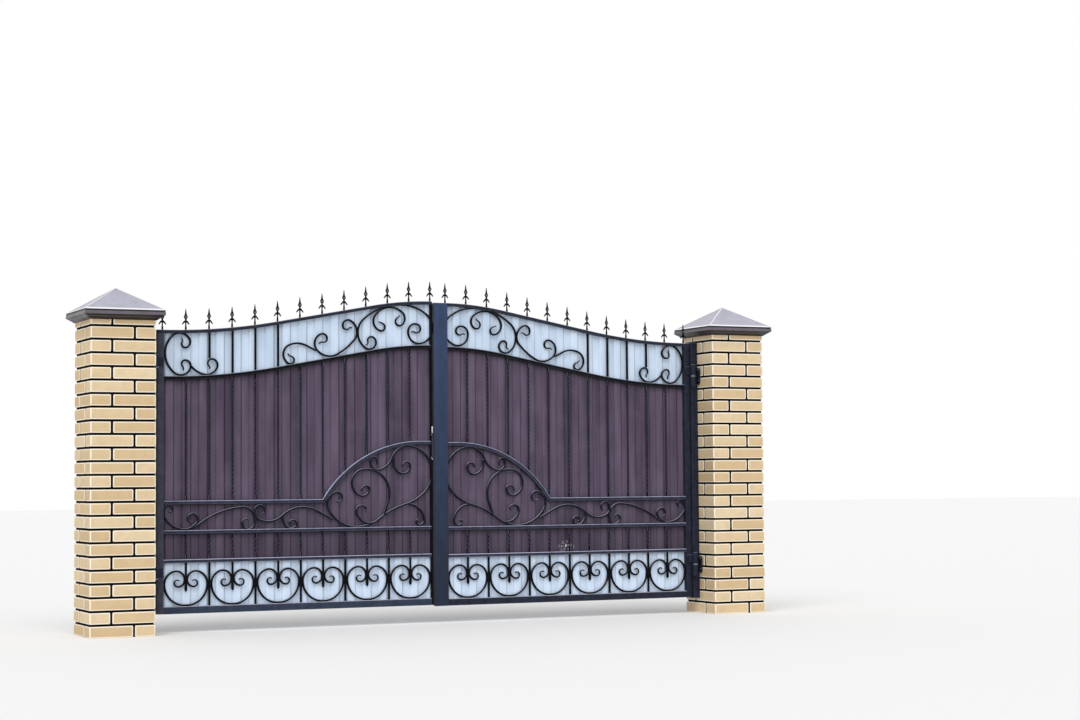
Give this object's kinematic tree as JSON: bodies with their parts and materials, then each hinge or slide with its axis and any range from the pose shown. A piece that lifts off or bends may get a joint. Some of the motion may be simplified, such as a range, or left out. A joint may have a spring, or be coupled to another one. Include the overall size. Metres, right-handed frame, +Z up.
{
  "type": "wrought iron driveway gate",
  "caption": "Double-leaf driveway gate with scrollwork over ribbed sheet, hung on steel posts between brick pillars with pyramid caps.",
  "frame": {"origin": "middle of the left pillar's base, at ground level, seen from the street", "axes": "+X along the gate from the left pillar to the right one, +Y away from the street, +Z up"},
  "size_m": [4.526, 0.472, 2.1041],
  "materials": {
    "brick": "cream facing brick with dark recessed joints",
    "cap_sheet": "folded sheet steel, chocolate brown polyester coating, weathered",
    "frame_paint": "blue-black satin enamel on square steel tube",
    "forged_iron": "blue-black satin enamel on forged square bar",
    "strip_paint": "slate blue enamel on flat bar",
    "pale_sheet": "galvanised ribbed sheet seen from its pale side",
    "brown_sheet": "brown coated ribbed sheet, scuffed",
    "bare_steel": "worn bright steel"
  },
  "bodies": {
    "pillars": {"pillar_left": "brick", "pillar_right": "brick", "cap_left": "cap_sheet", "cap_right": "cap_sheet", "post_left": "frame_paint", "post_right": "frame_paint"},
    "left_leaf": {"l_hinge_halves": "frame_paint", "l_hinge_stile": "frame_paint", "l_meeting_stile": "frame_paint", "l_bottom_rail": "frame_paint", "l_top_rail": "frame_paint", "l_band_rail": "frame_paint", "l_arch_rail": "frame_paint", "l_cross_rails": "frame_paint", "l_twisted_bars": "forged_iron", "l_band_bars": "forged_iron", "l_finials": "forged_iron", "l_band_scrolls": "forged_iron", "l_arch_scrolls": "forged_iron", "l_wave_scrolls": "forged_iron", "l_hearts": "forged_iron", "l_top_sheet": "pale_sheet", "l_main_sheet": "brown_sheet", "l_bottom_sheet": "pale_sheet", "l_pull": "bare_steel"},
    "right_leaf": {"r_hinge_halves": "frame_paint", "r_hinge_stile": "frame_paint", "r_meeting_stile": "frame_paint", "r_bottom_rail": "frame_paint", "r_top_rail": "frame_paint", "r_band_rail": "frame_paint", "r_arch_rail": "frame_paint", "r_cross_rails": "frame_paint", "r_twisted_bars": "forged_iron", "r_band_bars": "forged_iron", "r_finials": "forged_iron", "r_band_scrolls": "forged_iron", "r_arch_scrolls": "forged_iron", "r_wave_scrolls": "forged_iron", "r_hearts": "forged_iron", "r_top_sheet": "pale_sheet", "r_main_sheet": "brown_sheet", "r_bottom_sheet": "pale_sheet", "cover_strip": "strip_paint"}
  },
  "joints": [
    {"name": "left_leaf_hinge", "type": "hinge", "parent": "pillars", "child": "left_leaf", "pos_m": [0.235, -0.017, 0.9285], "axis": [0, 0, -1], "range_deg": [0, 95]},
    {"name": "right_leaf_hinge", "type": "hinge", "parent": "pillars", "child": "right_leaf", "pos_m": [3.819, -0.017, 0.9285], "axis": [0, 0, 1], "range_deg": [0, 95]}
  ]
}
